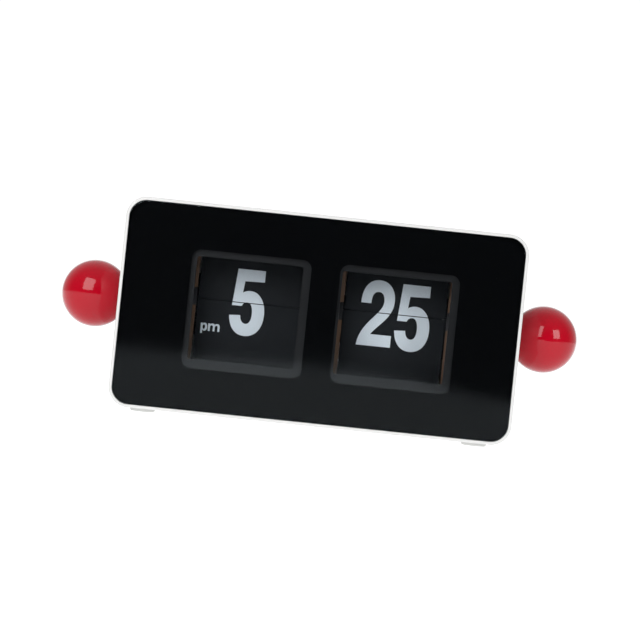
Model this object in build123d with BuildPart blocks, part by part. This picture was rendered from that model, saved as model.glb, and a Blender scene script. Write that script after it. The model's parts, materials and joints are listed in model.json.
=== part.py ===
from build123d import *
from math import acos, asin, cos, degrees, pi, radians, sin, tan
import os

os.makedirs("parts", exist_ok=True)

# A split-leaf clock. X runs to the right, Y to the back and Z up; the feet stand on z = 0.

# Case
case_width = 192.6
case_height = 100.6
case_depth = 80.0
case_corner = 9.8
case_wall = 2.3
foot_height = 1.6
front_y = -case_depth / 2
back_y = case_depth / 2
case_z = foot_height + case_height / 2
floor_z = foot_height + case_wall
lens_width = 189.7
lens_height = 97.6
lens_corner = 8.3
lens_thick = 2.0
fit_gap = 0.1
mask_thick = 0.3
bezel_thick = 1.2
bezel_step = 1.0
ledge_width = 3.2
ledge_thick = 2.0
mask_y = front_y + lens_thick
bezel_y = mask_y + mask_thick
ledge_y = bezel_y + bezel_thick

# Windows in the mask, and openings in the bezel behind them: centre x, centre z, width, height
window_width = 57.3
window_height = 56.8
window_corner = 4.5
window_z = case_z - 0.3
hour_window_x = -34.6
minute_window_x = 36.5
opening_z = 52.3
opening_height = 49.0
hour_opening = (-60.7, -9.8)
minute_opening = (9.1, 61.6)

# Drums
axis_z = 54.2
pin_circle = 11.5
disc_radius = 15.0
disc_thick = 1.6
groove_inner = 10.2
groove_outer = 14.3
groove_depth = 1.1
hub_radius = 4.5
leaf_length = 20.0
leaf_thick = 0.14
leaf_gap = 0.24
leaf_fall_step = 0.35
leaf_lean = 91.5
ear_height = 0.8
ear_reach = 1.4
pin_radius = 0.25
pin_root = 1.0
hour_leaf = (-59.7, -10.1)
minute_leaf = (11.6, 61.2)
disc_side_gap = 0.6
split_gap = 0.4
hour_split_z = 56.9
minute_split_z = 58.8
hour_margin = 1.3
minute_margin = 0.4
hour_leaves_all = 24
minute_leaves_all = 60
hang_limit = 195

# Shafts and running fits
arbor_radius = 2.5
nose_radius = 1.5
thin_radius = 1.0
rotor_arbor_radius = 0.5
running = 0.06

# Plates of the movement
plate_thick = 1.5
left_plate_x = -64.0
hour_plate_x = -7.3
minute_plate_x = 7.3
right_plate_x = 64.0
plate_front = -15.0
plate_back = 22.0
plate_top = 90.0
notch_y = 15.5
notch_z = 31.0
base_z = 6.2
base_thick = 1.5
lip_y = -17.2
lip_thick = 0.8
lip_heights = ((24.0, 53.5), (62.2, 84.0))
rod_radius = 1.5
rod_spots = ((-10.0, 86.0), (17.0, 86.0), (11.0, 12.0), (-10.0, 12.0))

# Gears
pressure_angle = radians(25)
set_module = 0.4
carry_module = 0.56
motor_module = 0.3
backlash = 0.09
big_teeth = 72
carry_teeth = 48
motor_teeth = 60
pinion_teeth = 12
gear_centre = set_module * (big_teeth + pinion_teeth) / 2
motor_centre = motor_module * (motor_teeth + pinion_teeth) / 2
carry_side = 90
drive_side = -70
rotor_side = -60
hour_gear_x = -4.6
minute_gear_x = 67.0
wheel_x = 69.6
carry_wheel_x = 2.5
gear_thick = 1.5

# Knobs
ball_radius = 16.4
ball_x = 111.0
ball_flat = 12.2
arbor_end = 108.0
bush_radius = 4.0
bush_flange = 6.0
bush_flange_thick = 1.0

# Motor unit
motor_front_x = 71.5
motor_back_x = 85.0
motor_wall = 1.2
motor_y = (-8.0, 28.0)
motor_z = (14.0, 48.0)
magnet_radius = 3.5
coil_z = 42.0
coil_radius = 4.0
core_half = 1.0

# Battery
cell_radius = 7.1
cell_length = 49.5
cell_y = 27.0
cell_z = 20.0
cell_nub_radius = 2.6
cell_nub = 1.0
door_width = 62.0
door_foot_z = 10.0
door_height = 22.0
door_thick = 1.9
door_gap = 0.3
door_pin_radius = 1.0
door_axis_y = back_y - 1.3
cover_thick = 2.5


def across(x, y=0.0, z=0.0):
    """Plane square to X: its x runs along Y, its y along Z."""
    return Plane(origin=(x, y, z), x_dir=(0, 1, 0), z_dir=(1, 0, 0))


def facing(y, z=0.0, x=0.0):
    """Plane square to Y and looking forwards: its x runs along X, its y along Z."""
    return Plane(origin=(x, y, z), x_dir=(1, 0, 0), z_dir=(0, -1, 0))


def gear_outline(teeth, module, first_tooth):
    """Closed outline of an involute gear with one tooth centred at the angle first_tooth."""
    pitch_radius = module * teeth / 2
    base_radius = pitch_radius * cos(pressure_angle)
    tip_radius = pitch_radius + 0.92 * module
    root_radius = pitch_radius - 1.25 * module
    half_pitch_tooth = pi / (2 * teeth) - backlash / (2 * pitch_radius)
    flank_start = max(base_radius, root_radius)
    steps = 4 if teeth < 20 else 2

    def half_tooth(radius):
        roll = acos(min(1.0, base_radius / radius))
        return half_pitch_tooth + tan(pressure_angle) - pressure_angle - tan(roll) + roll

    flank = [flank_start + (tip_radius - flank_start) * i / steps for i in range(steps + 1)]
    radii = [root_radius] * (root_radius < base_radius) + flank
    widths = [half_tooth(max(radius, flank_start)) for radius in radii]
    points = []
    for tooth in range(teeth):
        centre = radians(first_tooth) + 2 * pi * tooth / teeth
        side = [(r, centre - w) for r, w in zip(radii, widths)]
        other = [(r, centre + w) for r, w in reversed(list(zip(radii, widths)))]
        points += [(r * cos(a), r * sin(a)) for r, a in side + other]
    return points


def gear(x, y, z, teeth, module, first_tooth, bore, thick=gear_thick):
    """Spur gear on an axis along X."""
    with BuildPart() as wheel:
        with BuildSketch(across(x, y, z)):
            with BuildLine():
                Polyline(*gear_outline(teeth, module, first_tooth), close=True)
            make_face()
            Circle(bore, mode=Mode.SUBTRACT)
        extrude(amount=thick)
    return wheel


def mating_tooth(teeth_a, first_a, teeth_b, direction):
    """Tooth angle of gear b, which lies at this direction from gear a, that puts the two in mesh."""
    lead = (first_a - direction) % (360 / teeth_a)
    return direction + 180 - lead * teeth_a / teeth_b + 180 / teeth_b


def rod(x_from, x_to, y, z, radius, bore=0.0):
    """Round rod or tube along X."""
    with BuildPart() as bar:
        with BuildSketch(across(x_from, y, z)):
            Circle(radius)
            if bore:
                Circle(bore, mode=Mode.SUBTRACT)
        extrude(amount=x_to - x_from)
    return bar


def spot(angle):
    """Place on the pin circle, from 0 at the front over 90 at the top, as (y, z)."""
    return -pin_circle * cos(radians(angle)), axis_z + pin_circle * sin(radians(angle))


def hanging_leaves(pitch, top_angle):
    """(y, z, direction) of the fallen leaves, oldest first; each hangs in front of the one before."""
    places = []
    count = int((top_angle + 360 - hang_limit) / pitch)
    for step in range(count, 0, -1):
        y, z = spot(top_angle - step * pitch)
        if places:
            y = min(y, places[-1][0] - leaf_gap)
        places.append((y, z, -90.0))
    return places


def waiting_leaves(pitch, top_angle):
    """(y, z, direction) of the leaves still to fall, which fan out towards the back."""
    count = int(360 / pitch) - 1 - int((top_angle + 360 - hang_limit) / pitch)
    places = []
    for step in range(1, count + 1):
        angle = top_angle + step * pitch
        lean = 60 + 15 * (angle - top_angle) / (hang_limit - top_angle)
        places.append((*spot(angle), angle + lean))
    return places


def leaf_pack(places, span, margin):
    """Thin leaves with two ears each, from (y, z, direction) of their pins."""
    def strips(length, offset):
        for y, z, direction in places:
            turn = 180 - direction
            along = offset + length / 2
            middle = (y + along * cos(radians(turn)), z + along * sin(radians(turn)), 0)
            with Locations(Location(middle, (0, 0, turn))):
                Rectangle(length, leaf_thick)

    with BuildPart() as pack:
        with BuildSketch(across(span[0])):
            strips(leaf_length, -margin)
        extrude(amount=span[1] - span[0])
        with BuildSketch(across(span[0] - ear_reach)):
            strips(ear_height, -min(margin, ear_height / 2))
        extrude(amount=span[1] - span[0] + 2 * ear_reach)
    return pack


def hinged_leaf(y, z, span, margin):
    """The leaf about to fall: it leans on its neighbour and turns on two round pins."""
    turn = 180 - leaf_lean
    along = leaf_length / 2 - margin
    middle = (y + along * cos(radians(turn)), z + along * sin(radians(turn)), 0)
    with BuildPart() as leaf:
        with BuildSketch(across(span[0])):
            with Locations(Location(middle, (0, 0, turn))):
                Rectangle(leaf_length, leaf_thick)
        extrude(amount=span[1] - span[0])
        for x in (span[0] - ear_reach, span[1] - pin_root):
            with BuildSketch(across(x)):
                with Locations((y, z)):
                    Circle(pin_radius)
            extrude(amount=ear_reach + pin_root)
    return leaf


def drum(span):
    """Two grooved discs on a hub; the ears of the leaves ride in the grooves."""
    left = span[0] - disc_side_gap - disc_thick
    right = span[1] + disc_side_gap
    with BuildPart() as spool:
        for x in (left, right):
            with BuildSketch(across(x, 0, axis_z)):
                Circle(disc_radius)
            extrude(amount=disc_thick)
        with BuildSketch(across(left, 0, axis_z)):
            Circle(hub_radius)
        extrude(amount=right + disc_thick - left)
        for x in (left + disc_thick - groove_depth, right):
            with BuildSketch(across(x, 0, axis_z)):
                Circle(groove_outer)
                Circle(groove_inner, mode=Mode.SUBTRACT)
            extrude(amount=groove_depth, mode=Mode.SUBTRACT)
        with BuildSketch(across(left, 0, axis_z)):
            Circle(arbor_radius)
        extrude(amount=right + disc_thick - left, mode=Mode.SUBTRACT)
    return spool


def side_plate(x, holes, lip_from=None, lip_to=None, notched=False):
    """Upright plate square to X with round holes (y, z, radius), two front lips and a notch for the cell."""
    with BuildPart() as plate:
        with BuildSketch(across(x)):
            with Locations(((plate_front + plate_back) / 2, (base_z + base_thick + plate_top) / 2)):
                RectangleRounded(plate_back - plate_front, plate_top - base_z - base_thick, 3)
            for y, z in rod_spots:
                with Locations((y, z)):
                    Circle(rod_radius, mode=Mode.SUBTRACT)
            for y, z, radius in holes:
                with Locations((y, z)):
                    Circle(radius, mode=Mode.SUBTRACT)
            if notched:
                with Locations((plate_back, base_z)):
                    Rectangle(2 * (plate_back - notch_y), 2 * (notch_z - base_z), mode=Mode.SUBTRACT)
        extrude(amount=plate_thick)
        if lip_to is not None:
            for low, high in lip_heights:
                with BuildSketch(facing(lip_y + lip_thick)):
                    with Locations(((lip_from + lip_to) / 2, (low + high) / 2)):
                        Rectangle(abs(lip_to - lip_from), high - low)
                extrude(amount=lip_thick)
                with BuildSketch(facing(plate_front + 1)):
                    with Locations((x + plate_thick / 2, (low + high) / 2)):
                        Rectangle(plate_thick, high - low)
                extrude(amount=plate_front + 1 - lip_y)
    return plate


def screws(plane, spots, head_radius, head_height, shank_radius, length):
    """Pan-head screws with a cross slot; each plane point is the seat under a head."""
    with BuildPart() as group:
        with BuildSketch(plane):
            with Locations(*spots):
                Circle(head_radius)
        extrude(amount=head_height)
        fillet(group.edges().filter_by(GeomType.CIRCLE).group_by(SortBy.RADIUS)[-1]
               .filter_by(lambda e: plane.to_local_coords(e.center()).Z > head_height / 2), head_height * 0.4)
        with BuildSketch(plane):
            with Locations(*spots):
                Circle(shank_radius)
        extrude(amount=-length)
        with BuildSketch(plane.offset(head_height * 0.45)):
            with Locations(*spots):
                Rectangle(head_radius * 1.2, head_radius * 0.28)
                Rectangle(head_radius * 0.28, head_radius * 1.2)
        extrude(amount=head_height, mode=Mode.SUBTRACT)
    return group


# Case shell: a rounded tube with a ledge for the lens and bosses for the two sets of screws
cover_spots = [(86.0, 12.0), (-86.0, 12.0), (86.0, 92.0), (-86.0, 92.0)]
base_spots = [(58.0, -8.0), (-58.0, -8.0), (58.0, 18.0), (-58.0, 18.0)]
foot_spots = [(80.0, -28.0), (-80.0, -28.0), (80.0, 28.0), (-80.0, 28.0)]
foot_radius = 6.0
foot_sink = 0.8
boss_length = 9.0
rib_shift = 4.7
with BuildPart() as case_shell:
    with BuildSketch(facing(back_y, case_z)):
        RectangleRounded(case_width, case_height, case_corner)
    extrude(amount=case_depth)
    fillet(case_shell.edges().group_by(Axis.Y)[0], 0.5)
    fillet(case_shell.edges().group_by(Axis.Y)[-1], 1.2)
    with BuildSketch(facing(back_y, case_z)):
        RectangleRounded(case_width - 2 * case_wall, case_height - 2 * case_wall, case_corner - case_wall)
    extrude(amount=back_y - ledge_y - ledge_thick, mode=Mode.SUBTRACT)
    with BuildSketch(facing(ledge_y + ledge_thick, case_z)):
        RectangleRounded(lens_width - 2 * ledge_width, lens_height - 2 * ledge_width, lens_corner - ledge_width)
    extrude(amount=ledge_thick, mode=Mode.SUBTRACT)
    with BuildSketch(facing(ledge_y, case_z)):
        RectangleRounded(lens_width, lens_height, lens_corner)
    extrude(amount=ledge_y - front_y, mode=Mode.SUBTRACT)
    with BuildSketch(facing(back_y - cover_thick)):
        with Locations(*cover_spots):
            Circle(4.0)
        for x, z in cover_spots:
            with Locations((x + rib_shift if x > 0 else x - rib_shift, z)):
                Rectangle(8.0, 3.0)
    extrude(amount=boss_length)
    with BuildSketch(facing(back_y - cover_thick)):
        with Locations(*cover_spots):
            Circle(1.3)
    extrude(amount=boss_length - 1, mode=Mode.SUBTRACT)
    with BuildSketch(Plane.XY.offset(floor_z - 0.2)):
        with Locations(*base_spots):
            Circle(4.0)
    extrude(amount=base_z - floor_z + 0.2)
    with BuildSketch(Plane.XY.offset(foot_height + 0.9)):
        with Locations(*base_spots):
            Circle(1.0)
    extrude(amount=base_z, mode=Mode.SUBTRACT)
    with BuildSketch(across(-case_width / 2, 0, axis_z)):
        Circle(bush_radius)
    extrude(amount=case_width, mode=Mode.SUBTRACT)
    with BuildSketch(Plane.XY.offset(foot_height)):
        with Locations(*foot_spots):
            Circle(foot_radius)
    extrude(amount=foot_sink, mode=Mode.SUBTRACT)

with BuildPart() as feet:
    with BuildSketch(Plane.XY):
        with Locations(*foot_spots):
            Circle(foot_radius)
    extrude(amount=foot_height + foot_sink)
    chamfer(feet.edges().group_by(Axis.Z)[0], 0.5)

# Lens, mask and bezel lie on the ledge one behind the other
with BuildPart() as front_lens:
    with BuildSketch(facing(mask_y, case_z)):
        RectangleRounded(lens_width - 2 * fit_gap, lens_height - 2 * fit_gap, lens_corner - fit_gap)
    extrude(amount=lens_thick)
    fillet(front_lens.edges().group_by(Axis.Y)[0], 0.4)

with BuildPart() as window_mask:
    with BuildSketch(facing(bezel_y, case_z)):
        RectangleRounded(lens_width - 2 * fit_gap, lens_height - 2 * fit_gap, lens_corner - fit_gap)
        for x in (hour_window_x, minute_window_x):
            with Locations((x, window_z - case_z)):
                RectangleRounded(window_width, window_height, window_corner, mode=Mode.SUBTRACT)
    extrude(amount=mask_thick)

with BuildPart() as leaf_frame:
    with BuildSketch(facing(ledge_y, case_z)):
        RectangleRounded(lens_width - 2 * fit_gap, lens_height - 2 * fit_gap, lens_corner - fit_gap)
    extrude(amount=bezel_thick)
    for x in (hour_window_x, minute_window_x):
        with BuildSketch(facing(ledge_y + bezel_step, window_z)):
            with Locations((x, 0)):
                RectangleRounded(window_width + 6, window_height + 6, window_corner + 3)
        extrude(amount=bezel_step)
    for x in (hour_window_x, minute_window_x):
        with BuildSketch(facing(ledge_y, window_z)):
            with Locations((x, 0)):
                RectangleRounded(window_width + 4, window_height + 4, window_corner + 2)
        extrude(amount=bezel_thick, mode=Mode.SUBTRACT)
    for left, right in (hour_opening, minute_opening):
        with BuildSketch(facing(ledge_y + bezel_step, opening_z)):
            with Locations(((left + right) / 2, 0)):
                RectangleRounded(right - left, opening_height, 1.0)
        extrude(amount=bezel_step, mode=Mode.SUBTRACT)

# Rear cover with the battery opening; the door's pins turn in its two cheeks
door_axis_z = door_foot_z + 1.4
with BuildPart() as rear_cover:
    with BuildSketch(facing(back_y, case_z)):
        RectangleRounded(case_width - 2 * case_wall - 0.3, case_height - 2 * case_wall - 0.3, case_corner - case_wall)
    extrude(amount=cover_thick)
    with BuildSketch(facing(back_y)):
        with Locations((0, door_foot_z + (door_height + 1.4) / 2)):
            Rectangle(door_width, door_height + 1.4)
        with Locations(*cover_spots):
            Circle(1.6)
    extrude(amount=cover_thick, mode=Mode.SUBTRACT)
    with BuildSketch(facing(back_y)):
        with Locations(*cover_spots):
            Circle(3.2)
        with Locations((0, door_foot_z + door_height + 1.4)):
            RectangleRounded(14.0, 6.0, 2.9)
    extrude(amount=1.6, mode=Mode.SUBTRACT)
    with BuildSketch(across(-door_width / 2 - 2, door_axis_y, door_axis_z)):
        Circle(door_pin_radius + running)
    extrude(amount=door_width + 4, mode=Mode.SUBTRACT)

with BuildPart() as battery_door:
    with BuildSketch(across(-door_width / 2 + door_gap, door_axis_y, door_axis_z)):
        Circle(1.3)
        with Locations((1.3 - door_thick / 2, (door_height - 0.5) / 2)):
            Rectangle(door_thick, door_height - 0.5)
    extrude(amount=door_width - 2 * door_gap)
    with BuildSketch(across(-door_width / 2 - 1.8, door_axis_y, door_axis_z)):
        Circle(door_pin_radius)
    extrude(amount=door_width + 3.6)
    with BuildSketch(facing(back_y)):
        with Locations(*[(0, door_axis_z + 13.0 + 1.6 * i) for i in range(4)]):
            Rectangle(16.0, 0.6)
    extrude(amount=0.4, mode=Mode.SUBTRACT)

rear_screws = screws(Plane(origin=(0, back_y - 1.6, 0), x_dir=(1, 0, 0), z_dir=(0, 1, 0)),
                     [(x, -z) for x, z in cover_spots], 2.9, 1.5, 1.3, 8.0)

# Battery holder: a cradle with two end walls that the contacts lean on
holder_half = 30.0
with BuildPart() as battery_holder:
    with BuildSketch(across(-holder_half)):
        with Locations((cell_y, cell_z)):
            Rectangle(18.0, 18.0)
    extrude(amount=2 * holder_half)
    with BuildSketch(across(-holder_half + 1.6, cell_y, cell_z)):
        Circle(cell_radius + 0.2)
        with Locations((6, 0)):
            Rectangle(12.0, 2 * cell_radius + 0.4)
    extrude(amount=2 * holder_half - 3.2, mode=Mode.SUBTRACT)

with BuildPart() as battery_cell:
    with BuildSketch(across(-cell_length / 2, cell_y, cell_z)):
        Circle(cell_radius)
    extrude(amount=cell_length - cell_nub)
    fillet(battery_cell.edges().filter_by(GeomType.CIRCLE), 0.5)
    with BuildSketch(across(cell_length / 2 - cell_nub, cell_y, cell_z)):
        Circle(cell_nub_radius)
    extrude(amount=cell_nub)


def contact(wall_x, tip_x):
    """Bent strip from the holder's end wall to the cell's end."""
    side = 1 if tip_x > wall_x else -1
    with BuildPart() as strip:
        with BuildSketch(Plane.XY.offset(cell_z - 3)):
            with BuildLine():
                Polyline(
                    (wall_x, cell_y - 5), (tip_x, cell_y - 0.8), (tip_x, cell_y + 0.8), (wall_x, cell_y + 5),
                    (wall_x, cell_y + 4.2), (tip_x - 0.5 * side, cell_y + 0.4),
                    (tip_x - 0.5 * side, cell_y - 0.4), (wall_x, cell_y - 4.2), close=True)
            make_face()
        extrude(amount=6)
    return strip


contact_wall = holder_half - 1.6
positive_contact = contact(contact_wall, cell_length / 2)
negative_contact = contact(-contact_wall, -cell_length / 2)

# Movement: base plate, four side plates, rods and nuts
with BuildPart() as chassis_base:
    with BuildSketch(Plane.XY.offset(base_z)):
        with Locations((0.75, (plate_front + plate_back) / 2)):
            RectangleRounded(136.0, plate_back - plate_front, 3)
        with Locations(*base_spots):
            Circle(1.3, mode=Mode.SUBTRACT)
        with Locations((0, cell_y)):
            Rectangle(2 * holder_half + 2, 24.0, mode=Mode.SUBTRACT)
    extrude(amount=base_thick)

chassis_screws = screws(Plane.XY.offset(base_z + base_thick), base_spots, 2.4, 1.4, 1.0, 4.0)

carry_y = gear_centre * cos(radians(carry_side))
carry_z = axis_z + gear_centre * sin(radians(carry_side))
wheel_y = gear_centre * cos(radians(drive_side))
wheel_z = axis_z + gear_centre * sin(radians(drive_side))
rotor_y = wheel_y + motor_centre * cos(radians(rotor_side))
rotor_z = wheel_z + motor_centre * sin(radians(rotor_side))

outer_hole = (0, axis_z, arbor_radius + running)
inner_hole = (0, axis_z, nose_radius + running)
carry_hole = (carry_y, carry_z, nose_radius + running)
wheel_hole = (wheel_y, wheel_z, thin_radius + running)
left_plate = side_plate(left_plate_x, [outer_hole], left_plate_x, -60.25)
hour_plate = side_plate(hour_plate_x, [inner_hole, carry_hole], notched=True)
minute_plate_left = minute_plate_x - plate_thick
minute_plate = side_plate(minute_plate_left, [inner_hole, carry_hole], minute_plate_left, 11.1, notched=True)
right_plate = side_plate(right_plate_x, [outer_hole, wheel_hole], right_plate_x + plate_thick, 61.75)

with BuildPart() as tie_rods:
    with BuildSketch(across(left_plate_x - 2.6)):
        with Locations(*rod_spots):
            Circle(rod_radius)
    extrude(amount=right_plate_x + plate_thick + 2.6 - (left_plate_x - 2.6))

with BuildPart() as rod_nuts:
    for x in (left_plate_x - 2.0, right_plate_x + plate_thick):
        with BuildSketch(across(x)):
            with Locations(*rod_spots):
                RegularPolygon(2.9, 6)
                Circle(rod_radius, mode=Mode.SUBTRACT)
        extrude(amount=2.0)

# Arbors: a thick part through the drum and a thinner nose between the inner plates
nose_start = abs(hour_plate_x) + 0.4


def knob_arbor(side, nose_end):
    """Steel arbor from the ball to the carry gears, on the left (-1) or the right (1)."""
    with BuildPart() as arbor:
        with BuildSketch(across(side * nose_start, 0, axis_z)):
            Circle(arbor_radius)
        extrude(amount=side * (arbor_end - nose_start))
        with BuildSketch(across(side * nose_end, 0, axis_z)):
            Circle(nose_radius)
        extrude(amount=side * (nose_start - nose_end))
    return arbor


def ball_knob(side):
    """Ball with a flat towards the case and a blind hole for the arbor."""
    with BuildPart() as ball:
        with Locations((side * ball_x, 0, axis_z)):
            Sphere(ball_radius)
        split(bisect_by=Plane(origin=(side * (ball_x - ball_flat), 0, axis_z), z_dir=(side, 0, 0)))
        with BuildSketch(across(side * (ball_x - ball_flat), 0, axis_z)):
            Circle(arbor_radius)
        extrude(amount=side * (arbor_end - ball_x + ball_flat), mode=Mode.SUBTRACT)
    return ball


def knob_bush(side):
    """Flanged bush in the case wall."""
    wall_out = case_width / 2
    with BuildPart() as bush:
        with BuildSketch(across(side * (wall_out - case_wall - 0.6), 0, axis_z)):
            Circle(bush_radius)
        extrude(amount=side * (case_wall + 0.6))
        with BuildSketch(across(side * wall_out, 0, axis_z)):
            Circle(bush_flange)
        extrude(amount=side * bush_flange_thick)
        with BuildSketch(across(side * (wall_out - case_wall - 0.6), 0, axis_z)):
            Circle(arbor_radius + running)
        extrude(amount=side * (case_wall + bush_flange_thick + 0.6), mode=Mode.SUBTRACT)
    return bush


clip_x = case_width / 2 - case_wall - 2.0
hour_arbor = knob_arbor(-1, 2.0)
minute_arbor = knob_arbor(1, 1.0)
hour_knob = ball_knob(-1)
minute_knob = ball_knob(1)
hour_bush = knob_bush(-1)
minute_bush = knob_bush(1)
hour_clip = rod(-clip_x - 0.8, -clip_x, 0, axis_z, 4.6, arbor_radius)
minute_clip = rod(clip_x, clip_x + 0.8, 0, axis_z, 4.6, arbor_radius)

# Drums and their leaves
hour_pin_z = hour_split_z + split_gap / 2 + hour_margin
minute_pin_z = minute_split_z + split_gap / 2 + minute_margin
hour_top_angle = degrees(asin((hour_pin_z - axis_z) / pin_circle))
minute_top_angle = degrees(asin((minute_pin_z - axis_z) / pin_circle))
hour_pitch = 360 / hour_leaves_all
minute_pitch = 360 / minute_leaves_all
hour_fallen = hanging_leaves(hour_pitch, hour_top_angle)
minute_fallen = hanging_leaves(minute_pitch, minute_top_angle)
hour_pin_y = hour_fallen[-1][0] - leaf_fall_step
minute_pin_y = minute_fallen[-1][0] - leaf_fall_step

hour_drum = drum(hour_leaf)
minute_drum = drum(minute_leaf)
hour_leaves_fallen = leaf_pack(hour_fallen, hour_leaf, hour_margin)
hour_leaves_waiting = leaf_pack(waiting_leaves(hour_pitch, hour_top_angle), hour_leaf, hour_margin)
hour_top_leaf = hinged_leaf(hour_pin_y, hour_pin_z, hour_leaf, hour_margin)
minute_leaves_fallen = leaf_pack(minute_fallen, minute_leaf, minute_margin)
minute_leaves_waiting = leaf_pack(waiting_leaves(minute_pitch, minute_top_angle), minute_leaf, minute_margin)
minute_top_leaf = hinged_leaf(minute_pin_y, minute_pin_z, minute_leaf, minute_margin)


def leaf_catch(x, pin_y, pin_z, margin):
    """Spring strip clipped on the front top rod; its tip stands just above the top leaf."""
    rod_y, rod_z = rod_spots[0]
    tip_y = pin_y - 1.0
    tip_z = pin_z + leaf_length - margin + 0.4
    with BuildPart() as catch:
        with BuildSketch(across(x - 3)):
            with Locations((rod_y, rod_z)):
                Circle(rod_radius + 0.5)
            with BuildLine():
                Polyline((rod_y - 1.2, rod_z - 1.2), (tip_y - 1.4, tip_z + 1.6), (tip_y, tip_z),
                         (tip_y + 0.3, tip_z + 0.3), (tip_y - 0.9, tip_z + 1.7), (rod_y, rod_z - 1.7), close=True)
            make_face()
            with Locations((rod_y, rod_z)):
                Circle(rod_radius, mode=Mode.SUBTRACT)
        extrude(amount=6)
    return catch


hour_catch = leaf_catch(sum(hour_leaf) / 2, hour_pin_y, hour_pin_z, hour_margin)
minute_catch = leaf_catch(sum(minute_leaf) / 2, minute_pin_y, minute_pin_z, minute_margin)

# Carry train: one turn of the minute drum moves the hour drum on by one leaf
minute_tooth = 0.0
carry_wheel_tooth = mating_tooth(pinion_teeth, minute_tooth, carry_teeth, carry_side)
carry_pinion_tooth = 0.0
hour_gear_tooth = mating_tooth(pinion_teeth, carry_pinion_tooth, big_teeth, carry_side + 180)
minute_carry_pinion = gear(carry_wheel_x - 0.3, 0, axis_z, pinion_teeth, carry_module, minute_tooth,
                           nose_radius, gear_thick + 0.6)
carry_wheel = gear(carry_wheel_x, carry_y, carry_z, carry_teeth, carry_module, carry_wheel_tooth, nose_radius)
carry_pinion = gear(hour_gear_x - 0.3, carry_y, carry_z, pinion_teeth, set_module, carry_pinion_tooth,
                    nose_radius, gear_thick + 0.6)
hour_carry_gear = gear(hour_gear_x, 0, axis_z, big_teeth, set_module, hour_gear_tooth, nose_radius)
carry_arbor = rod(hour_plate_x, minute_plate_x, carry_y, carry_z, nose_radius)

# Drive train: rotor, intermediate wheel and minute gear
minute_gear_tooth = 0.0
wheel_pinion_tooth = mating_tooth(big_teeth, minute_gear_tooth, pinion_teeth, drive_side)
rotor_pinion_tooth = mating_tooth(motor_teeth, 0.0, pinion_teeth, rotor_side)
minute_gear = gear(minute_gear_x, 0, axis_z, big_teeth, set_module, minute_gear_tooth, arbor_radius)
intermediate_pinion = gear(minute_gear_x - 0.3, wheel_y, wheel_z, pinion_teeth, set_module, wheel_pinion_tooth,
                           thin_radius, gear_thick + 0.6)
intermediate_wheel = gear(wheel_x, wheel_y, wheel_z, motor_teeth, motor_module, 0.0, thin_radius, 1.2)
intermediate_arbor = rod(right_plate_x, motor_front_x + motor_wall, wheel_y, wheel_z, thin_radius)
rotor_pinion = gear(wheel_x - 0.2, rotor_y, rotor_z, pinion_teeth, motor_module, rotor_pinion_tooth,
                    rotor_arbor_radius, 1.6)
rotor_arbor = rod(wheel_x - 0.6, motor_back_x + 0.8, rotor_y, rotor_z, rotor_arbor_radius)
rotor_magnet = rod(75.0, 79.0, rotor_y, rotor_z, magnet_radius, rotor_arbor_radius)

# Motor unit: housing and cover round the stator and the coil, circuit board behind
motor_mid_y = sum(motor_y) / 2
motor_mid_z = sum(motor_z) / 2
motor_long = motor_y[1] - motor_y[0]
motor_tall = motor_z[1] - motor_z[0]
with BuildPart() as motor_housing:
    with BuildSketch(across(motor_front_x, motor_mid_y, motor_mid_z)):
        RectangleRounded(motor_long, motor_tall, 3)
    extrude(amount=motor_back_x - motor_front_x)
    with BuildSketch(across(motor_front_x + motor_wall, motor_mid_y, motor_mid_z)):
        RectangleRounded(motor_long - 2 * motor_wall, motor_tall - 2 * motor_wall, 2)
    extrude(amount=motor_back_x, mode=Mode.SUBTRACT)
    with BuildSketch(across(motor_front_x)):
        with Locations((wheel_y, wheel_z)):
            Circle(thin_radius + running)
        with Locations((rotor_y, rotor_z)):
            Circle(rotor_arbor_radius + running)
    extrude(amount=motor_wall, mode=Mode.SUBTRACT)

with BuildPart() as motor_cover:
    with BuildSketch(across(motor_back_x, motor_mid_y, motor_mid_z)):
        RectangleRounded(motor_long, motor_tall, 3)
        with Locations((rotor_y - motor_mid_y, rotor_z - motor_mid_z)):
            Circle(rotor_arbor_radius + running, mode=Mode.SUBTRACT)
    extrude(amount=motor_wall)

bracket_y = 0.5
bracket_width = 12.0
with BuildPart() as motor_brackets:
    with BuildSketch(Plane.XY.offset(base_z + base_thick)):
        with Locations((motor_front_x - 5.0, bracket_y)):
            Rectangle(motor_wall, bracket_width)
    extrude(amount=6.0)
    with BuildSketch(Plane.XY.offset(base_z + base_thick + 6.0)):
        with Locations(((motor_front_x - 5.6 + motor_back_x) / 2, bracket_y)):
            Rectangle(motor_back_x - motor_front_x + 5.6, bracket_width)
    extrude(amount=motor_z[0] - base_z - base_thick - 6.0)

stator_x = 76.4
arm_y = 14.0
with BuildPart() as stator:
    with BuildSketch(across(stator_x)):
        with Locations((motor_mid_y, rotor_z)):
            Rectangle(2 * arm_y + 5, 13.0)
        for side in (-1, 1):
            with Locations((motor_mid_y + side * arm_y, (rotor_z + coil_z) / 2)):
                Rectangle(5.0, coil_z - rotor_z + 3)
        with Locations((rotor_y, rotor_z)):
            Circle(magnet_radius + 0.6, mode=Mode.SUBTRACT)
    extrude(amount=1.2)
    with BuildSketch(facing(motor_mid_y + arm_y, coil_z)):
        with Locations((stator_x + 0.6, 0)):
            Rectangle(2 * core_half - 0.8, 2 * core_half)
    extrude(amount=2 * arm_y)

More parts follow.
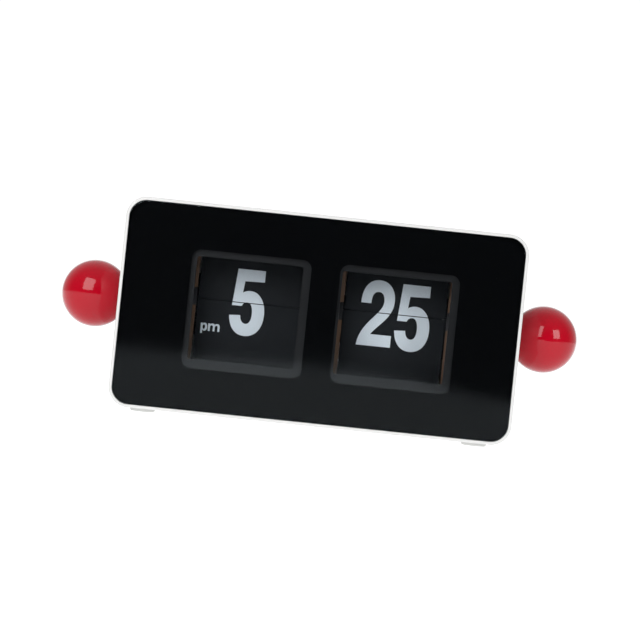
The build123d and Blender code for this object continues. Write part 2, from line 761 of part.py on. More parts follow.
with BuildPart() as coil_bobbin:
    with BuildSketch(facing(motor_mid_y + arm_y - 2.6, coil_z, stator_x + 0.6)):
        Circle(coil_radius - 2.0)
        Rectangle(2 * core_half - 0.8, 2 * core_half, mode=Mode.SUBTRACT)
    extrude(amount=2 * arm_y - 5.2)
    for y in (motor_mid_y + arm_y - 2.6, motor_mid_y - arm_y + 3.4):
        with BuildSketch(facing(y, coil_z, stator_x + 0.6)):
            Circle(coil_radius)
            Circle(coil_radius - 2.0, mode=Mode.SUBTRACT)
        extrude(amount=0.8)

with BuildPart() as coil_winding:
    with BuildSketch(facing(motor_mid_y + arm_y - 3.4, coil_z, stator_x + 0.6)):
        Circle(coil_radius - 0.4)
        Circle(coil_radius - 2.0, mode=Mode.SUBTRACT)
    extrude(amount=2 * arm_y - 6.8)

board_x = motor_back_x + motor_wall
with BuildPart() as circuit_board:
    with BuildSketch(across(board_x, motor_mid_y, motor_mid_z)):
        RectangleRounded(motor_long - 4, motor_tall - 6, 1)
        with Locations((rotor_y - motor_mid_y, rotor_z - motor_mid_z)):
            Circle(2.0, mode=Mode.SUBTRACT)
    extrude(amount=1.0)

with BuildPart() as control_chip:
    with BuildSketch(across(board_x + 1.0, motor_mid_y, motor_mid_z + 8)):
        Circle(3.5)
    extrude(amount=1.2)
    fillet(control_chip.faces().sort_by(Axis.X)[-1].edges(), 0.8)

with BuildPart() as quartz_crystal:
    with BuildSketch(facing(motor_mid_y - 6, motor_mid_z + 8, board_x + 2.1)):
        Circle(1.05)
    extrude(amount=6.0)

# Battery leads run along under the holder and rise beside the circuit board
lead_radius = 0.5
lead_bend = 5.0
lead_z = cell_z - 9.0 - lead_radius
lead_x = board_x + 1.0 + lead_radius
with BuildPart() as battery_leads:
    for start_x, y in ((holder_half - 1.0, plate_back + 1.2), (1.0 - holder_half, plate_back + 2.6)):
        with BuildLine() as route:
            FilletPolyline((start_x, y, lead_z), (lead_x, y, lead_z), (lead_x, y, lead_z + 11.0), radius=lead_bend)
        with BuildSketch(Plane(origin=route.line @ 0, z_dir=route.line % 0)):
            Circle(lead_radius)
        sweep()

pieces = {
    "case_shell": case_shell,
    "feet": feet,
    "front_lens": front_lens,
    "window_mask": window_mask,
    "leaf_frame": leaf_frame,
    "rear_cover": rear_cover,
    "rear_screws": rear_screws,
    "battery_door": battery_door,
    "battery_holder": battery_holder,
    "battery_cell": battery_cell,
    "positive_contact": positive_contact,
    "negative_contact": negative_contact,
    "battery_leads": battery_leads,
    "chassis_base": chassis_base,
    "chassis_screws": chassis_screws,
    "left_plate": left_plate,
    "hour_plate": hour_plate,
    "minute_plate": minute_plate,
    "right_plate": right_plate,
    "tie_rods": tie_rods,
    "rod_nuts": rod_nuts,
    "hour_arbor": hour_arbor,
    "hour_knob": hour_knob,
    "hour_bush": hour_bush,
    "hour_clip": hour_clip,
    "hour_drum": hour_drum,
    "hour_carry_gear": hour_carry_gear,
    "hour_leaves_fallen": hour_leaves_fallen,
    "hour_leaves_waiting": hour_leaves_waiting,
    "hour_top_leaf": hour_top_leaf,
    "hour_catch": hour_catch,
    "minute_arbor": minute_arbor,
    "minute_knob": minute_knob,
    "minute_bush": minute_bush,
    "minute_clip": minute_clip,
    "minute_drum": minute_drum,
    "minute_gear": minute_gear,
    "minute_carry_pinion": minute_carry_pinion,
    "minute_leaves_fallen": minute_leaves_fallen,
    "minute_leaves_waiting": minute_leaves_waiting,
    "minute_top_leaf": minute_top_leaf,
    "minute_catch": minute_catch,
    "carry_arbor": carry_arbor,
    "carry_wheel": carry_wheel,
    "carry_pinion": carry_pinion,
    "intermediate_arbor": intermediate_arbor,
    "intermediate_wheel": intermediate_wheel,
    "intermediate_pinion": intermediate_pinion,
    "rotor_arbor": rotor_arbor,
    "rotor_magnet": rotor_magnet,
    "rotor_pinion": rotor_pinion,
    "motor_housing": motor_housing,
    "motor_cover": motor_cover,
    "motor_brackets": motor_brackets,
    "stator": stator,
    "coil_bobbin": coil_bobbin,
    "coil_winding": coil_winding,
    "circuit_board": circuit_board,
    "control_chip": control_chip,
    "quartz_crystal": quartz_crystal,
}
for name, piece in pieces.items():
    piece.part.label = name
    export_step(piece.part, f"parts/{name}.step")

print("hour leaf hinge y z:", round(hour_pin_y, 3), round(hour_pin_z, 3))
print("minute leaf hinge y z:", round(minute_pin_y, 3), round(minute_pin_z, 3))
print("intermediate axis y z:", round(wheel_y, 3), round(wheel_z, 3))
print("rotor axis y z:", round(rotor_y, 3), round(rotor_z, 3))
print("door axis y z:", round(door_axis_y, 3), round(door_axis_z, 3))
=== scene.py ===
import json
import math
import bmesh
import bpy
import numpy as np
from mathutils import Matrix, Vector


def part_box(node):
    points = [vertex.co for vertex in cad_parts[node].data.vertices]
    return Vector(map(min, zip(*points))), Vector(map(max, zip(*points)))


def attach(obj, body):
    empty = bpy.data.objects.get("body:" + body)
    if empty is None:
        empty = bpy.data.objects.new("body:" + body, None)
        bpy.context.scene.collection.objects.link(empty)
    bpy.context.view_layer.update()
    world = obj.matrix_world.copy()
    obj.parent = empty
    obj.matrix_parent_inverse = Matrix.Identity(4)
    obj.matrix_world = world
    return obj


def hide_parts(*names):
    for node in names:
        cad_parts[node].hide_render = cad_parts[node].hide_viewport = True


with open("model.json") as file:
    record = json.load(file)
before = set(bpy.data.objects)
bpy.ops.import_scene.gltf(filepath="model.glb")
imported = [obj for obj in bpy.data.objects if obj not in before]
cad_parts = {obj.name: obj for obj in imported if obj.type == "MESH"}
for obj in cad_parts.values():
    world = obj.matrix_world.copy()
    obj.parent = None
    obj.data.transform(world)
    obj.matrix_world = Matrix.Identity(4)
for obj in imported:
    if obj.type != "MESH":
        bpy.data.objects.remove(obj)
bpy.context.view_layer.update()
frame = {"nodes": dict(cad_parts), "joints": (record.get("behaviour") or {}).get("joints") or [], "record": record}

mm = 0.001
joints = {joint["name"]: joint for joint in frame["joints"]}

camera = {
    "distance": 1.053,        # from the front of the case
    "focal": 124.6,
    "sideStep": 0.0005,
    "rise": 0.0005,
    "roll": math.radians(5.92),
}
caseLow, caseHigh = (Vector(corner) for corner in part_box("case_shell"))
caseMid = (caseLow + caseHigh) / 2
cameraData = bpy.data.cameras.new("camera")
cameraData.lens = camera["focal"]
cameraData.sensor_width = 36.0
cameraObject = bpy.data.objects.new("camera", cameraData)
cameraObject.location = (caseMid.x + camera["sideStep"], caseLow.y - camera["distance"],
                         caseMid.z + camera["rise"])
cameraObject.rotation_euler = (math.pi / 2, -camera["roll"], 0)
bpy.context.scene.collection.objects.link(cameraObject)
bpy.context.scene.camera = cameraObject
bpy.context.scene.view_settings.view_transform = "Standard"
print("camera placed")


# Links a finished mesh as a piece that rides on a body and, where asked, stands for CAD nodes
def asPiece(name, mesh, body, material, smoothAngle=30, replaced=()):
    for polygon in mesh.polygons:
        polygon.use_smooth = True
    mesh.set_sharp_from_angle(angle=math.radians(smoothAngle))
    piece = bpy.data.objects.new(name, mesh)
    bpy.context.scene.collection.objects.link(piece)
    mesh.materials.clear()
    mesh.materials.append(material)
    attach(piece, body)
    if replaced:
        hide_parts(*replaced)
    return piece


# Closed mesh from a grid of points: rows follow the profile, columns go round, and each cell joins
# a point to its neighbours in the row and in the next row; open ends get a fan to their middle
def surfaceMesh(name, points, closedProfile=False):
    rows, columns, _ = points.shape
    index = np.arange(rows * columns).reshape(rows, columns)
    turned = np.roll(index, -1, axis=1)
    if closedProfile:
        nextRow, nextTurned = np.roll(index, -1, axis=0), np.roll(turned, -1, axis=0)
        quads = np.stack([index, turned, nextTurned, nextRow], axis=-1).reshape(-1, 4)
        vertices, faces = points.reshape(-1, 3), quads.tolist()
    else:
        quads = np.stack([index[:-1], turned[:-1], turned[1:], index[1:]], axis=-1).reshape(-1, 4)
        ends = np.stack([points[0].mean(axis=0), points[-1].mean(axis=0)])
        vertices = np.concatenate([points.reshape(-1, 3), ends])
        first, last = rows * columns, rows * columns + 1
        startFan = np.stack([turned[0], index[0], np.full(columns, first)], axis=-1)
        endFan = np.stack([index[-1], turned[-1], np.full(columns, last)], axis=-1)
        faces = quads.tolist() + startFan.tolist() + endFan.tolist()
    mesh = bpy.data.meshes.new(name)
    mesh.from_pydata(vertices.tolist(), [], faces)
    work = bmesh.new()
    work.from_mesh(mesh)
    bmesh.ops.recalc_face_normals(work, faces=work.faces)
    work.to_mesh(mesh)
    work.free()
    return mesh


# Profile whose corners (a, b, radius) become arcs, with a point just before and after each arc; radius 0
# stays a point. An arc starts the radius over the tangent of half the corner's angle away from it, and
# its centre lies on the bisector, the radius over the sine of that half angle away
def filleted(corners, steps=5, support=0.25):
    points = []
    count = len(corners)
    for i, (a, b, radius) in enumerate(corners):
        here = np.array([a, b])
        if not radius:
            points.append(here)
            continue
        before = np.array(corners[i - 1][:2]) - here
        after = np.array(corners[(i + 1) % count][:2]) - here
        before, after = before / np.linalg.norm(before), after / np.linalg.norm(after)
        half = math.acos(float(np.clip(before @ after, -1, 1))) / 2
        reach = radius / math.tan(half)
        middle = here + (before + after) / np.linalg.norm(before + after) * radius / math.sin(half)
        start, end = here + before * reach, here + after * reach
        swing = np.linspace(0, 1, steps + 1)[:, None]
        chord = (start - middle) * (1 - swing) + (end - middle) * swing
        arc = middle + chord / np.linalg.norm(chord, axis=1)[:, None] * radius
        points += [start + before * support, *arc, end + after * support]
    return np.array(points)


# Rings of a rounded rectangle in the XZ plane, each drawn in by its inset and set at its depth: a point
# is its corner's centre plus the radius times the cosine and sine of a quarter turn
def roundedRing(width, height, corner, insets, depths, middle, steps=14, least=0.2):
    insets, depths = np.asarray(insets)[:, None], np.asarray(depths)[:, None]
    radius = np.maximum(corner - insets, least)
    quarter = np.concatenate([np.linspace(k, k + 1, steps) for k in range(4)]) * math.pi / 2
    signX = np.repeat([1, -1, -1, 1], steps)[None]
    signZ = np.repeat([1, 1, -1, -1], steps)[None]
    x = signX * (width / 2 - insets - radius) + radius * np.cos(quarter)[None]
    z = signZ * (height / 2 - insets - radius) + radius * np.sin(quarter)[None]
    y = depths + np.zeros_like(x)
    return np.stack([x + middle[0], y, z + middle[1]], axis=-1) * mm


# Surface turned about X: x is the place along the axis, and y and z are the axis plus the radius times
# the cosine and sine of the turn
def revolved(along, radii, centre, count=96):
    turn = np.linspace(0, 2 * math.pi, count, endpoint=False)[None]
    radii = np.asarray(radii)[:, None]
    x = np.asarray(along)[:, None] + np.zeros_like(turn)
    return np.stack([x, centre[0] + radii * np.cos(turn), centre[1] + radii * np.sin(turn)], axis=-1) * mm


# A number socket: an operator on it adds a Math node, from either side
class Value:
    def __init__(self, tree, socket):
        self.tree = tree
        self.socket = socket

    def combined(self, operation, first, second):
        made = self.tree.nodes.new("ShaderNodeMath")
        made.operation = operation
        for slot, item in zip(made.inputs, (first, second)):
            if isinstance(item, Value):
                self.tree.links.new(item.socket, slot)
            else:
                slot.default_value = item
        return Value(self.tree, made.outputs[0])

    def __add__(self, other):
        return self.combined("ADD", self, other)

    def __radd__(self, other):
        return self.combined("ADD", other, self)

    def __mul__(self, other):
        return self.combined("MULTIPLY", self, other)

    def __rmul__(self, other):
        return self.combined("MULTIPLY", other, self)

    def above(self, limit):
        return self.combined("GREATER_THAN", self, limit)

    def atLeast(self, limit):
        return self.combined("MAXIMUM", self, limit)


# One node tree and the one way its other nodes are made
class NodeTree:
    def __init__(self, tree):
        self.tree = tree

    # Links a value to a socket, or sets the socket to a plain number, vector or colour
    def feed(self, socket, item):
        if isinstance(item, Value):
            self.tree.links.new(item.socket, socket)
        elif socket.type == "RGBA":
            socket.default_value = (*item, 1)
        else:
            socket.default_value = item

    # Settings come first, such as a ramp's stops, then each input gets its value or link
    def node(self, kind, settings, inputs, output=0):
        made = self.tree.nodes.new(kind)
        for key, item in settings.items():
            if key == "stops":
                ramp = made.color_ramp.elements
                while len(ramp) < len(item):
                    ramp.new(0.5)
                for stop, (position, colour) in zip(ramp, item):
                    stop.position, stop.color = position, (*colour, 1)
            else:
                setattr(made, key, item)
        for key, item in inputs.items():
            self.feed(made.inputs[key], item)
        return Value(self.tree, made.outputs[output])


# One material, read in Object coordinates
class Finish(NodeTree):
    def __init__(self, name):
        self.material = bpy.data.materials.new(name)
        self.material.use_nodes = True
        super().__init__(self.material.node_tree)
        self.shader = self.tree.nodes["Principled BSDF"]
        self.place = self.node("ShaderNodeTexCoord", {}, {}, "Object")

    def stretched(self, scale):
        return self.node("ShaderNodeMapping", {}, {"Vector": self.place, "Scale": scale})

    def noise(self, scale, detail=3.0, roughness=0.5, place=None):
        return self.node("ShaderNodeTexNoise", {}, {"Vector": place or self.place, "Scale": scale,
                                                    "Detail": detail, "Roughness": roughness})

    # Colour that goes from dark to light as the amount goes from 0 to 1
    def blend(self, amount, dark, light):
        return self.node("ShaderNodeMix", {"data_type": "RGBA"}, {"Factor": amount, 6: dark, 7: light}, 2)

    def bump(self, height, distance, strength=1.0):
        return self.node("ShaderNodeBump", {}, {"Height": height, "Distance": distance, "Strength": strength})

    # Feeds the material's main shader; an underscore stands for the space in a socket's name
    def wear(self, **sockets):
        for key, item in sockets.items():
            self.feed(self.shader.inputs[key.replace("_", " ")], item)
        return self.material


# Plain finish: colour drifts between two tones, fine grain lifts the surface, roughness drifts with both
def grained(name, dark, light, roughness, grain, depth, metallic=0.0, coat=0.0, spread=0.08,
            stretch=(1, 1, 1), specular=0.5):
    finish = Finish(name)
    place = finish.stretched(stretch)
    cloud = finish.noise(45.0, 4.0, 0.6)
    fine = finish.noise(grain, 3.0, 0.55, place)
    return finish.wear(
        Base_Color=finish.blend(cloud * 0.6 + fine * 0.4, dark, light),
        Roughness=fine * spread + cloud * spread + (roughness - spread),
        Normal=finish.bump(fine, depth),
        Metallic=metallic,
        Coat_Weight=coat,
        Coat_Roughness=0.08,
        Specular_IOR_Level=specular,
    )


# Clear pane: what lies behind shows through, and a thin gloss comes in with the Fresnel share
def makeLensGlass():
    finish = Finish("lensGlass")
    finish.tree.nodes.remove(finish.shader)
    smear = finish.noise(9.0, 4.0, 0.6)
    clear = finish.node("ShaderNodeBsdfTransparent", {}, {"Color": (0.97, 0.98, 0.99)})
    gloss = finish.node("ShaderNodeBsdfGlossy", {}, {"Color": (0.86, 0.96, 1.0), "Roughness": 0.05})
    share = finish.node("ShaderNodeFresnel", {}, {"IOR": 1.25}) * (0.9 + smear * 0.2)
    mixed = finish.node("ShaderNodeMixShader", {}, {0: share, 1: clear, 2: gloss})
    finish.feed(finish.tree.nodes["Material Output"].inputs["Surface"], mixed)
    return finish.material


# Red gloss: deep colour with faint clouds, a hard coat, and a slight wave in the surface
def makeKnobRed():
    finish = Finish("knobRed")
    cloud = finish.noise(60.0, 3.0)
    smudge = finish.noise(140.0, 5.0, 0.65)
    return finish.wear(
        Base_Color=finish.blend(cloud, (0.42, 0.0012, 0.011), (0.49, 0.0016, 0.015)),
        Roughness=0.16 + smudge * 0.06,
        Normal=finish.bump(finish.noise(420.0, 2.0), 0.00001, 0.3),
        Specular_IOR_Level=0.1,
        Coat_Weight=0.6,
        Coat_Roughness=0.02,
    )


# Black printed sheet: matt, with a faint weave of rolling lines along its width
def makeLeafSheet():
    finish = Finish("leafSheet")
    rolled = finish.noise(260.0, 4.0, 0.6, finish.stretched((0.06, 1, 1)))
    cloud = finish.noise(70.0, 3.0)
    tone = rolled * 0.5 + cloud * 0.5
    return finish.wear(
        Base_Color=finish.blend(tone, (0.0030, 0.0042, 0.0060), (0.0055, 0.0074, 0.0100)),
        Roughness=0.42 + cloud * 0.16,
        Normal=finish.bump(rolled, 0.00002, 0.5),
        Specular_IOR_Level=0.2,
    )


# Screen-printed white: even, with slight mottling where the ink lies thinner
def makePrintWhite():
    finish = Finish("printWhite")
    mottle = finish.noise(520.0, 4.0, 0.6)
    return finish.wear(
        Base_Color=finish.blend(mottle, (0.70, 0.76, 0.80), (0.78, 0.84, 0.88)),
        Roughness=0.5 + mottle * 0.1,
    )


# Cell sleeve: dark body with a copper-toned end, told apart by the place along X
def makeCellJacket():
    finish = Finish("cellJacket")
    across = finish.node("ShaderNodeSeparateXYZ", {}, {"Vector": finish.place}, "X")
    edge = across.above(0.012)
    speck = finish.noise(300.0, 2.0)
    return finish.wear(
        Base_Color=finish.blend(edge, (0.018, 0.02, 0.022), (0.55, 0.25, 0.09)),
        Metallic=0.35,
        Roughness=0.28 + speck * 0.08,
    )


# Lacquered board: tracks stand out as lighter bands from a grid of cells
def makeBoardGreen():
    finish = Finish("boardGreen")
    cells = finish.node("ShaderNodeTexVoronoi", {"distance": "MANHATTAN", "feature": "DISTANCE_TO_EDGE"},
                        {"Vector": finish.place, "Scale": 260.0})
    track = cells.above(0.22)
    return finish.wear(
        Base_Color=finish.blend(track, (0.012, 0.10, 0.045), (0.03, 0.19, 0.08)),
        Roughness=0.3 + track * 0.1,
        Normal=finish.bump(track, 0.00003, 0.5),
    )


# Enamelled wire: turns side by side, seen as fine ridges across Y
def makeWinding():
    finish = Finish("copperWinding")
    ridge = finish.node("ShaderNodeTexWave", {"bands_direction": "Y"},
                        {"Vector": finish.place, "Scale": 1200.0})
    return finish.wear(
        Base_Color=finish.blend(ridge, (0.32, 0.09, 0.03), (0.66, 0.24, 0.09)),
        Metallic=0.9,
        Roughness=0.32 + ridge * 0.1,
        Normal=finish.bump(ridge, 0.00004),
    )


# Turned metal: fine rings round X, a noise drawn out across the turning direction
def makeSteel(name, dark, light, roughness):
    finish = Finish(name)
    rings = finish.noise(700.0, 4.0, 0.6, finish.stretched((1, 0.08, 0.08)))
    return finish.wear(
        Base_Color=finish.blend(rings, dark, light),
        Metallic=1.0,
        Roughness=roughness + rings * 0.12,
        Normal=finish.bump(rings, 0.00001, 0.5),
    )


finishes = {
    "case_white": grained("enamelWhite", (0.69, 0.69, 0.68), (0.73, 0.73, 0.72), 0.38, 650.0, 0.000008,
                          coat=0.25),
    "lens_clear": makeLensGlass(),
    "mask_black": grained("maskBlack", (0.0012, 0.0014, 0.0018), (0.0018, 0.0021, 0.0027), 0.55, 900.0,
                          0.0000001, specular=0.02),
    "bezel_grey": grained("bezelGrey", (0.0045, 0.0050, 0.0058), (0.0075, 0.0080, 0.0090), 0.38, 1500.0,
                          0.00001, specular=0.25),
    "leaf_black": makeLeafSheet(),
    "drum_plastic": grained("drumPlastic", (0.012, 0.012, 0.014), (0.02, 0.02, 0.022), 0.5, 900.0, 0.00002),
    "knob_red": makeKnobRed(),
    "steel": makeSteel("turnedSteel", (0.42, 0.43, 0.45), (0.60, 0.61, 0.63), 0.24),
    "passivated_plate": grained("passivatedPlate", (0.11, 0.060, 0.034), (0.17, 0.095, 0.055), 0.42, 420.0,
                                0.00002, metallic=0.35, stretch=(1, 1, 0.15)),
    "brass_part": makeSteel("turnedBrass", (0.62, 0.42, 0.16), (0.80, 0.58, 0.27), 0.22),
    "gear_plastic": grained("acetalWhite", (0.66, 0.64, 0.58), (0.74, 0.72, 0.66), 0.4, 800.0, 0.00001),
    "housing_plastic": grained("housingPlastic", (0.02, 0.02, 0.022), (0.034, 0.034, 0.036), 0.5, 1100.0,
                               0.00003),
    "foot_rubber": grained("footRubber", (0.66, 0.66, 0.64), (0.74, 0.74, 0.72), 0.7, 900.0, 0.00003),
    "cell_jacket": makeCellJacket(),
    "spring_steel": makeSteel("springSteel", (0.60, 0.60, 0.62), (0.74, 0.74, 0.75), 0.16),
    "board_green": makeBoardGreen(),
    "copper_wire": makeWinding(),
    "magnet_grey": grained("sinteredGrey", (0.06, 0.06, 0.065), (0.12, 0.12, 0.125), 0.6, 1400.0, 0.00004,
                           metallic=0.5),
    "lead_jacket": grained("leadJacket", (0.30, 0.012, 0.012), (0.40, 0.02, 0.02), 0.42, 800.0, 0.00001),
}
printWhite = makePrintWhite()
for entry in frame["record"]["subparts"]:
    node = frame["nodes"][entry["node"]]
    node.data.materials.clear()
    node.data.materials.append(finishes[entry["material_slot"]])
print("finishes made")


lensLow, lensHigh = (Vector(corner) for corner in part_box("front_lens"))
caseWidth = (caseHigh.x - caseLow.x) / mm
caseHeight = (caseHigh.z - caseLow.z) / mm
frontY, backY = caseLow.y / mm, caseHigh.y / mm
caseCentre = (caseMid.x / mm, caseMid.z / mm)
caseForm = {
    "corner": 9.8,
    "rim": 1.45,          # width of the rim round the lens
    "seat": 3.6,          # depth of the lens recess
    "ledge": 4.65,
    "ledgeBack": 5.6,
    "wall": 2.3,
    "frontRound": 0.55,
    "rimRound": 0.22,
    "seatRound": 0.05,
    "ledgeRound": 0.1,
    "innerRound": 0.3,
    "backRound": 1.2,
}


# Wall section carried round a rounded rectangle: the section's first number is the distance in from
# the outer face and its second the distance back from the front
def makeCase():
    form = caseForm
    deep = backY - frontY
    section = filleted([
        (0, 0, form["frontRound"]), (form["rim"], 0, form["rimRound"]),
        (form["rim"], form["seat"], form["seatRound"]), (form["ledge"], form["seat"], form["ledgeRound"]),
        (form["ledge"], form["ledgeBack"], form["ledgeRound"]),
        (form["wall"], form["ledgeBack"], form["innerRound"]),
        (form["wall"], deep, form["innerRound"]), (0, deep, form["backRound"]),
    ])
    rings = roundedRing(caseWidth, caseHeight, form["corner"], section[:, 0], frontY + section[:, 1],
                        caseCentre)
    return surfaceMesh("caseShell", rings, closedProfile=True)


asPiece("caseShell", makeCase(), "clock", finishes["case_white"], replaced=("case_shell",))
print("case made")


lensForm = {"corner": 8.2, "edgeRound": 0.55, "backRound": 0.1, "flatFrom": 7.0}


# Edge section carried round a rounded rectangle, from the back face over the round to the front face
def makeLens():
    thick = (lensHigh.y - lensLow.y) / mm
    inner = lensForm["flatFrom"]
    section = filleted([(inner, thick, 0), (0, thick, lensForm["backRound"]), (0, 0, lensForm["edgeRound"]),
                        (inner, 0, 0)])
    rings = roundedRing((lensHigh.x - lensLow.x) / mm, (lensHigh.z - lensLow.z) / mm, lensForm["corner"],
                        section[:, 0], lensLow.y / mm + section[:, 1], caseCentre)
    return surfaceMesh("frontPane", rings)


asPiece("frontPane", makeLens(), "clock", finishes["lens_clear"], replaced=("front_lens",))
print("lens made")


ballForm = {
    "radius": 16.4,
    "flat": 12.2,         # from the middle to the flat on the case side
    "rimStep": 0.1,       # narrow bands that keep the flat's edge crisp
    "rimBand": 0.45,
    "edgeTurn": 0.035,    # where the round starts after the flat, and where it stops before the pole
    "poleTurn": 0.012,
}


# Ball turned about its arbor: the place along is the middle plus the radius times the cosine, and the
# distance out the radius times the sine, cut square on the case side
def makeBall(side, name, body, node):
    low, high = (Vector(corner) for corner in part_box(node))
    radius, flat, step = ballForm["radius"], ballForm["flat"], ballForm["rimStep"]
    outer = (high.x if side > 0 else low.x) / mm
    middle = outer - side * radius
    axis = ((low.y + high.y) / 2 / mm, (low.z + high.z) / 2 / mm)
    rim = math.sqrt(radius ** 2 - flat ** 2)
    turn = np.linspace(math.acos(-flat / radius) - ballForm["edgeTurn"], ballForm["poleTurn"], 60)
    along = np.concatenate([[-flat, -flat, -flat + step], radius * np.cos(turn)])
    out = np.concatenate([[rim / 2, rim - ballForm["rimBand"], rim - step], radius * np.sin(turn)])
    mesh = surfaceMesh(name, revolved(middle + side * along, out, axis))
    return asPiece(name, mesh, body, finishes["knob_red"], replaced=(node,))


makeBall(-1, "hourBall", "hour_drum", "hour_knob")
makeBall(1, "minuteBall", "minute_drum", "minute_knob")
print("balls made")


# Cubic curve: each of four points weighs by its Bernstein term, a product of powers of t and of 1 less t
def curved(start, first, second, end, steps=14):
    t = np.linspace(0, 1, steps + 1)[1:, None]
    start, first, second, end = (np.array(p) for p in (start, first, second, end))
    return (1 - t) ** 3 * start + 3 * (1 - t) ** 2 * t * first + 3 * (1 - t) * t ** 2 * second + t ** 3 * end


# Closed outline from points, and from (first, second, end) curves that go on from the last point
def outline(*strokes):
    points = [np.array(strokes[0], dtype=float)[None]]
    for stroke in strokes[1:]:
        if isinstance(stroke[0], tuple):
            points.append(curved(points[-1][-1], *stroke))
        else:
            points.append(np.array(stroke, dtype=float)[None])
    return np.concatenate(points)


# Ellipse: the middle plus the half width times the cosine and the half height times the sine
def oval(middle, halfWidth, halfHeight, steps=28):
    t = np.linspace(0, 2 * math.pi, steps, endpoint=False)
    return np.stack([middle[0] + halfWidth * np.cos(t), middle[1] + halfHeight * np.sin(t)], axis=-1)


# Outlines in figure heights, from the lower left corner; the letters are in heights of a small letter
figures = {
    "2": [outline(
        (0, 0), (0.518, 0), (0.518, 0.177), (0.201, 0.177),
        ((0.300, 0.330), (0.523, 0.450), (0.523, 0.700)), ((0.523, 0.890), (0.415, 1.0), (0.275, 1.0)),
        ((0.120, 1.0), (0.020, 0.880), (0.020, 0.642)), (0.172, 0.642),
        ((0.172, 0.765), (0.205, 0.823), (0.272, 0.823)), ((0.335, 0.823), (0.366, 0.770), (0.366, 0.680)),
        ((0.366, 0.490), (0.028, 0.350), (0, 0)))],
    "5": [outline(
        (0.075, 1.0), (0.488, 1.0), (0.488, 0.830), (0.195, 0.820), (0.177, 0.644),
        ((0.205, 0.668), (0.245, 0.681), (0.289, 0.681)), ((0.430, 0.681), (0.525, 0.540), (0.525, 0.344)),
        ((0.525, 0.140), (0.425, 0), (0.259, 0)), ((0.110, 0), (0.018, 0.110), (0.004, 0.296)),
        (0.169, 0.307),
        ((0.175, 0.225), (0.210, 0.183), (0.259, 0.183)), ((0.315, 0.183), (0.341, 0.250), (0.341, 0.344)),
        ((0.341, 0.440), (0.312, 0.506), (0.259, 0.506)), ((0.220, 0.506), (0.192, 0.487), (0.177, 0.446)),
        (0.031, 0.446))],
    "6": [outline(
        (0.505, 0.715), ((0.495, 0.900), (0.415, 1.0), (0.270, 1.0)), ((0.090, 1.0), (0, 0.800), (0, 0.500)),
        ((0, 0.180), (0.090, 0), (0.265, 0)), ((0.430, 0), (0.522, 0.130), (0.522, 0.330)),
        ((0.522, 0.530), (0.430, 0.645), (0.310, 0.645)), ((0.245, 0.645), (0.195, 0.610), (0.162, 0.560)),
        ((0.165, 0.745), (0.200, 0.840), (0.270, 0.840)), ((0.315, 0.840), (0.335, 0.790), (0.342, 0.715))),
        oval((0.262, 0.325), 0.100, 0.165)],
    "p": [outline(
        (0, 1.0), (0.25, 1.0), (0.25, 0.88), ((0.33, 0.99), (0.42, 1.03), (0.52, 1.03)),
        ((0.75, 1.03), (0.89, 0.82), (0.89, 0.50)), ((0.89, 0.18), (0.75, -0.03), (0.52, -0.03)),
        ((0.42, -0.03), (0.34, 0.01), (0.27, 0.10)), (0.27, -0.36), (0, -0.36)),
        oval((0.44, 0.5), 0.16, 0.30)],
    "m": [outline(
        (0, 0), (0, 1.0), (0.25, 1.0), (0.25, 0.87), ((0.35, 1.06), (0.78, 1.10), (0.88, 0.86)),
        ((1.02, 1.08), (1.54, 1.12), (1.54, 0.62)), (1.54, 0), (1.27, 0), (1.27, 0.56),
        ((1.27, 0.86), (0.90, 0.86), (0.90, 0.52)), (0.90, 0), (0.64, 0), (0.64, 0.56),
        ((0.64, 0.86), (0.27, 0.86), (0.27, 0.52)), (0.27, 0))],
}
ink = {"thick": 0.02, "lift": 0.012}


# Flat printed marks standing in the XZ plane at y = 0, cut at the split line; one half is kept.
# Each mark is (outline name, left, foot, height of one unit), in millimetres
def figureMesh(name, marks, splitZ, upper):
    flat = bpy.data.curves.new(name, "CURVE")
    flat.dimensions = "2D"
    flat.fill_mode = "BOTH"
    flat.extrude = ink["thick"] * mm / 2
    for figure, left, foot, unit in marks:
        for points in figures[figure]:
            spline = flat.splines.new("POLY")
            spline.points.add(len(points) - 1)
            placed = np.zeros((len(points), 4))
            placed[:, :2] = (points * unit + [left, foot]) * mm
            placed[:, 3] = 1
            spline.points.foreach_set("co", placed.ravel())
            spline.use_cyclic_u = True
    holder = bpy.data.objects.new(name, flat)
    mesh = bpy.data.meshes.new_from_object(holder)
    bpy.data.objects.remove(holder)
    mesh.name = name
    mesh.transform(Matrix.Rotation(math.pi / 2, 4, "X"))
    work = bmesh.new()
    work.from_mesh(mesh)
    bmesh.ops.remove_doubles(work, verts=work.verts, dist=1e-7)
    bmesh.ops.triangulate(work, faces=work.faces)
    normal = (0, 0, -1 if upper else 1)
    cut = bmesh.ops.bisect_plane(work, geom=[*work.verts, *work.edges, *work.faces], dist=1e-8,
                                 plane_co=(0, 0, splitZ * mm), plane_no=normal, clear_outer=True)
    edges = [item for item in cut["geom_cut"] if isinstance(item, bmesh.types.BMEdge)]
    if edges:
        bmesh.ops.holes_fill(work, edges=edges)
    bmesh.ops.recalc_face_normals(work, faces=work.faces)
    work.to_mesh(mesh)
    work.free()
    return mesh


# Where each reading stands (left, foot, height), and the pin (y, z) and direction of the first waiting leaf
hourText = {"figure": (-44.0, 40.8, 32.5), "letters": (-57.2, 41.5, 3.7), "letterStep": 0.99, "split": 56.9,
            "waiting": (-9.254, 61.03, 97.7)}
minuteText = {"first": (19.0, 42.4, 32.3), "second": (36.85, 41.4, 32.6), "split": 58.8,
              "waiting": (-9.658, 60.44, 93.4)}
splitGap = 0.4


